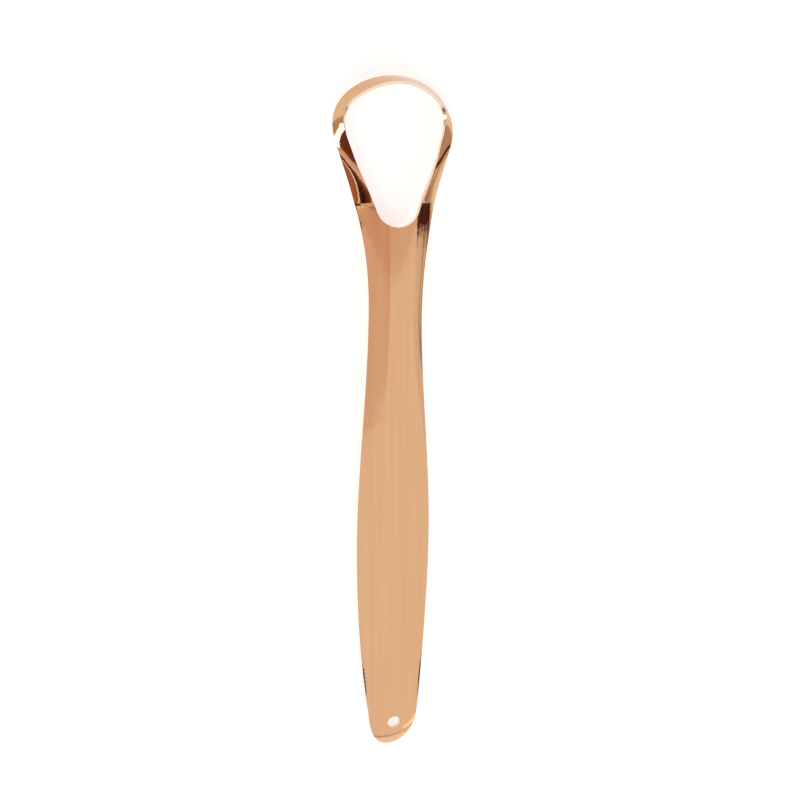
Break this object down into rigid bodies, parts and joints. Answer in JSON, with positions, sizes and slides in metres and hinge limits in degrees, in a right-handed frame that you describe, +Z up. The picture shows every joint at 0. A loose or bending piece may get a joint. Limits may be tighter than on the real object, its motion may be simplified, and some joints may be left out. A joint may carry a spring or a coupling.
{
  "type": "tongue scraper",
  "caption": "Tongue scraper pressed from a single polished metal sheet: trough-shaped handle with a hanging hole, forked into a teardrop scraping loop.",
  "frame": {"origin": "middle of the footprint, on the surface the scraper lies on convex side up", "axes": "+Y along the handle towards the loop, +X across, +Z up through the sheet's convex face"},
  "size_m": [0.0274, 0.15, 0.0063],
  "materials": {
    "polished_copper": "mirror-polished copper colour"
  },
  "bodies": {
    "root": {"tongue_scraper": "polished_copper"}
  },
  "joints": []
}
